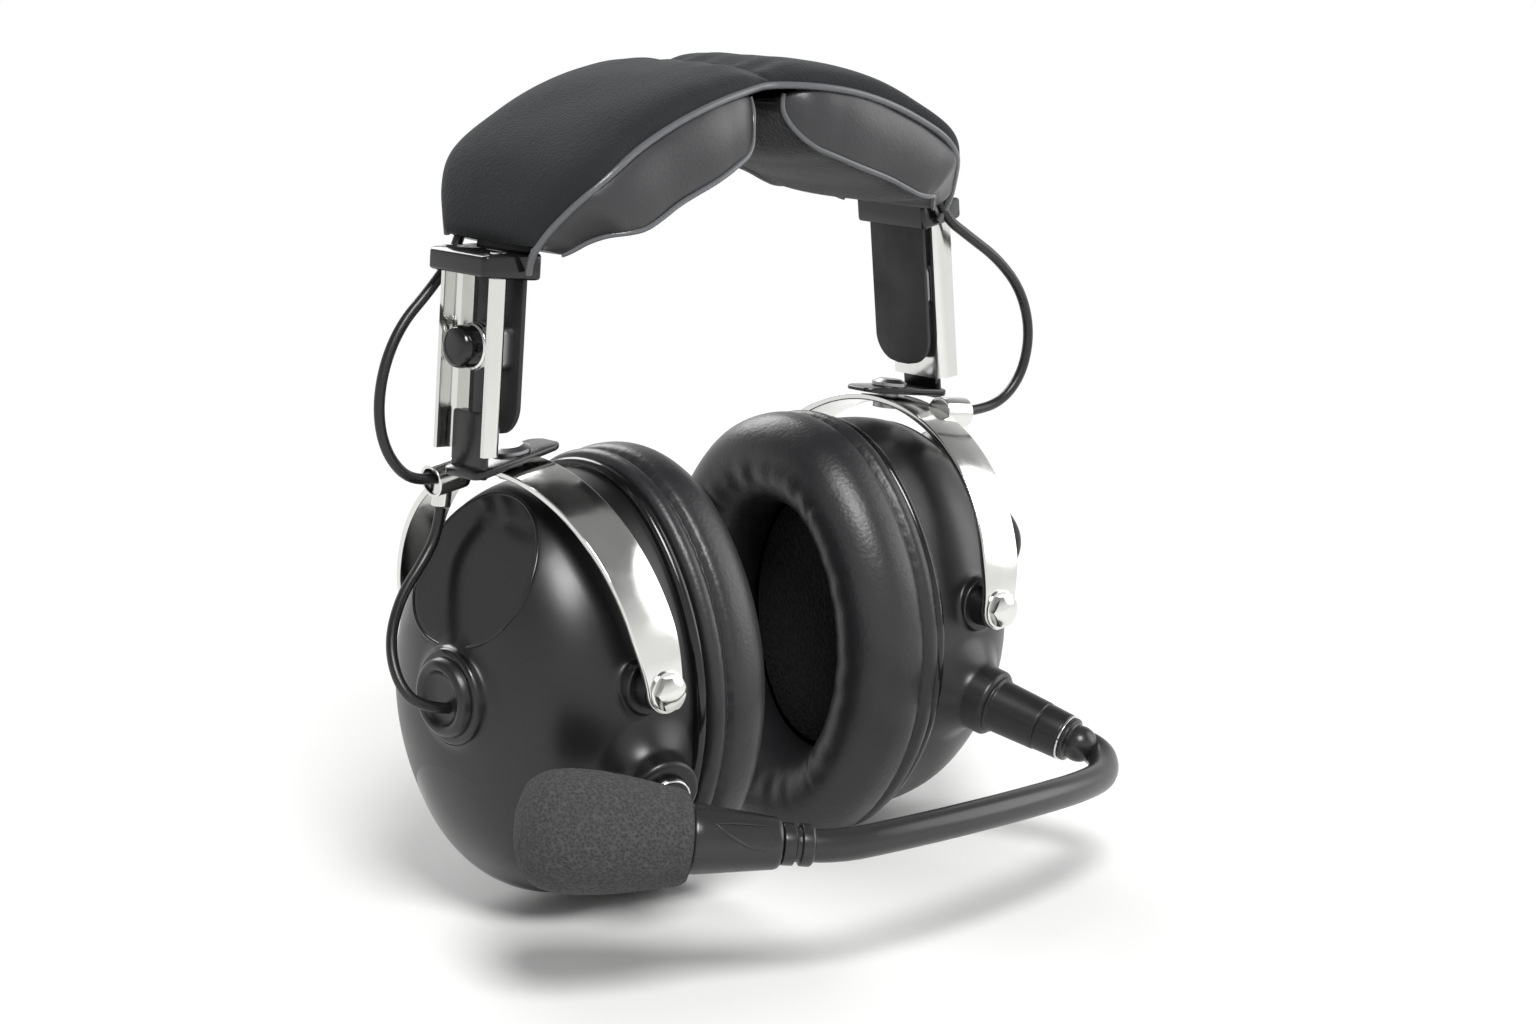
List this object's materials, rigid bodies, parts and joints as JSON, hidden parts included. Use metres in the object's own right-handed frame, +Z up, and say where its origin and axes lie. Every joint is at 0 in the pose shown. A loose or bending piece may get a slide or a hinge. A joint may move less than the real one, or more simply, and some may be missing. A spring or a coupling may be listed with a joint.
{
  "type": "aviation headset",
  "caption": "Passive aviation headset: domed ear cups with puffy seals, sprung padded headband, chrome height hangers and stirrups, and a flexible boom microphone.",
  "frame": {"origin": "middle of the wearer's head space, at ear level, midway between the faces of the ear seals", "axes": "+X to the wearer's left, -Y to the front, +Z up through the crown of the headband"},
  "size_m": [0.1978, 0.1406, 0.1921],
  "materials": {
    "band_paint": "matte",
    "pad_velour": "matte",
    "pad_leather": "satin",
    "seal_leather": "satin",
    "stud_brass": "satin",
    "cable_jacket": "satin",
    "keeper_plastic": "satin",
    "steel": "satin",
    "chrome_plate": "polished",
    "bracket_paint": "gloss",
    "knob_plastic": "gloss",
    "cup_plastic": "satin",
    "trim_plastic": "satin",
    "speaker_metal": "satin",
    "foam": "matte",
    "boom_rubber": "satin"
  },
  "bodies": {
    "headband": {"headband_spring": "band_paint", "head_pad_cover": "pad_velour", "head_pad_left": "pad_leather", "head_pad_right": "pad_leather", "pad_studs": "stud_brass", "crossover_cable": "cable_jacket", "slide_keeper_left": "keeper_plastic", "slide_keeper_right": "keeper_plastic", "slide_block_left": "steel", "slide_block_right": "steel", "cable_loop_left": "cable_jacket", "cable_loop_right": "cable_jacket"},
    "hanger_left": {"hanger_left": "chrome_plate", "swivel_bracket_left": "bracket_paint", "swivel_pin_left": "steel"},
    "knob_left": {"adjust_knob_left": "knob_plastic"},
    "stirrup_left": {"stirrup_left": "chrome_plate", "cable_clip_left": "chrome_plate"},
    "cup_left": {"pivot_screws_left": "chrome_plate", "pivot_bushes_left": "trim_plastic", "cup_shell_left": "cup_plastic", "hub_cap_left": "cup_plastic", "baffle_plate_left": "trim_plastic", "ear_seal_left": "seal_leather", "speaker_left": "speaker_metal", "speaker_screen_left": "foam", "acoustic_foam_left": "foam", "cable_tail_left": "cable_jacket", "volume_pot": "trim_plastic", "cable_gland": "trim_plastic"},
    "hanger_right": {"hanger_right": "chrome_plate", "swivel_bracket_right": "bracket_paint", "swivel_pin_right": "steel"},
    "knob_right": {"adjust_knob_right": "knob_plastic"},
    "stirrup_right": {"stirrup_right": "chrome_plate", "cable_clip_right": "chrome_plate"},
    "cup_right": {"pivot_screws_right": "chrome_plate", "pivot_bushes_right": "trim_plastic", "cup_shell_right": "cup_plastic", "hub_cap_right": "cup_plastic", "baffle_plate_right": "trim_plastic", "ear_seal_right": "seal_leather", "speaker_right": "speaker_metal", "speaker_screen_right": "foam", "acoustic_foam_right": "foam", "cable_tail_right": "cable_jacket", "socket_plug": "knob_plastic"},
    "volume_control": {"volume_knob": "trim_plastic"},
    "boom": {"boom_socket": "cup_plastic", "boom_collar": "trim_plastic", "boom_tube": "boom_rubber", "mic_coupling_ring": "trim_plastic"},
    "microphone": {"mic_holder": "trim_plastic", "mic_capsule": "speaker_metal", "mic_muff": "foam"}
  },
  "joints": [
    {"name": "height_slide_left", "type": "slide", "parent": "headband", "child": "hanger_left", "axis": [0.0872, 0, -0.9962], "range_m": [0, 0.017], "deforming": ["cable_loop_left"]},
    {"name": "knob_turn_left", "type": "hinge", "parent": "headband", "child": "knob_left", "pos_m": [0.06328, 0, 0.08018], "axis": [0.9962, 0, 0.0872], "range_deg": [-180, 180]},
    {"name": "stirrup_swivel_left", "type": "hinge", "parent": "hanger_left", "child": "stirrup_left", "pos_m": [0.053, 0, 0.008], "axis": [0.1392, 0, 0.9903], "range_deg": [-10, 10]},
    {"name": "cup_tilt_left", "type": "hinge", "parent": "stirrup_left", "child": "cup_left", "pos_m": [0.053, 0, 0.008], "axis": [0, 1, 0], "range_deg": [-10, 10], "deforming": ["cable_tail_left"]},
    {"name": "height_slide_right", "type": "slide", "parent": "headband", "child": "hanger_right", "axis": [-0.0872, 0, -0.9962], "range_m": [0, 0.017], "deforming": ["cable_loop_right"]},
    {"name": "knob_turn_right", "type": "hinge", "parent": "headband", "child": "knob_right", "pos_m": [-0.06328, 0, 0.08018], "axis": [-0.9962, 0, 0.0872], "range_deg": [-180, 180]},
    {"name": "stirrup_swivel_right", "type": "hinge", "parent": "hanger_right", "child": "stirrup_right", "pos_m": [-0.053, 0, 0.008], "axis": [-0.1392, 0, 0.9903], "range_deg": [-12, 12]},
    {"name": "cup_tilt_right", "type": "hinge", "parent": "stirrup_right", "child": "cup_right", "pos_m": [-0.053, 0, 0.008], "axis": [0, -1, 0], "range_deg": [-10, 10], "deforming": ["cable_tail_right"]},
    {"name": "volume_turn", "type": "hinge", "parent": "cup_left", "child": "volume_control", "pos_m": [0.07052, -0.002, 0.03], "axis": [0.8599, 0, 0.5105], "range_deg": [-140, 140]},
    {"name": "boom_swing", "type": "hinge", "parent": "cup_left", "child": "boom", "pos_m": [0.053, -0.044, -0.0158], "axis": [-0.2545, 0.9279, 0.2725], "range_deg": [0, 150]},
    {"name": "mic_turn", "type": "hinge", "parent": "boom", "child": "microphone", "pos_m": [-0.04606, -0.08246, -0.01945], "axis": [-0.8428, 0.5236, 0.1249], "range_deg": [-90, 90]}
  ]
}
